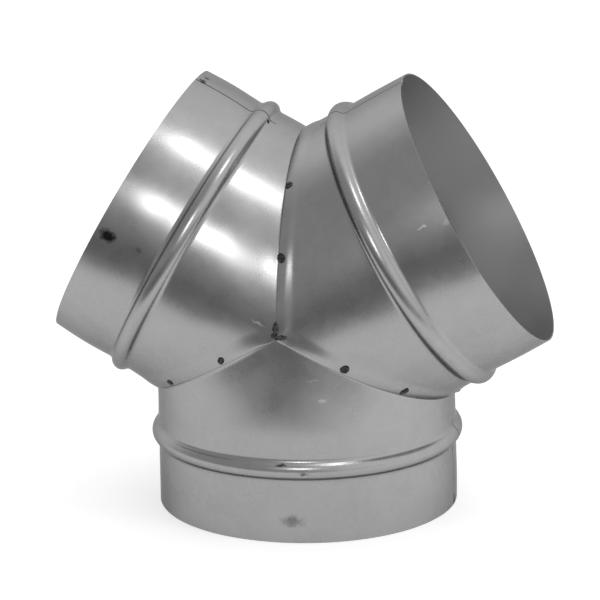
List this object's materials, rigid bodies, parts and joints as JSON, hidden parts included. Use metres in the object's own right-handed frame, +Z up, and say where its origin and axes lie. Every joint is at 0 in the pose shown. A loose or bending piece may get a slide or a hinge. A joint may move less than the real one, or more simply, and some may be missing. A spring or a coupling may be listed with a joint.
{
  "type": "duct y branch",
  "caption": "Round sheet-metal duct Y branch: a stem and two arms at equal angles, each with a stop bead and a plain male spigot, joined on tack-welded mitre laps.",
  "frame": {"origin": "centre of the stem's open end, on the surface that the part stands on", "axes": "+Z up along the stem's axis to where the three leg axes cross; +X towards the right arm; the three axes lie in the XZ plane"},
  "size_m": [0.2486, 0.1552, 0.2168],
  "materials": {
    "galvanised_steel": "galvanised sheet, semi-bright",
    "burnt_weld": "scorched by the weld"
  },
  "bodies": {
    "root": {"stem": "galvanised_steel", "left_branch": "galvanised_steel", "right_branch": "galvanised_steel", "tack_welds": "burnt_weld"}
  },
  "joints": []
}
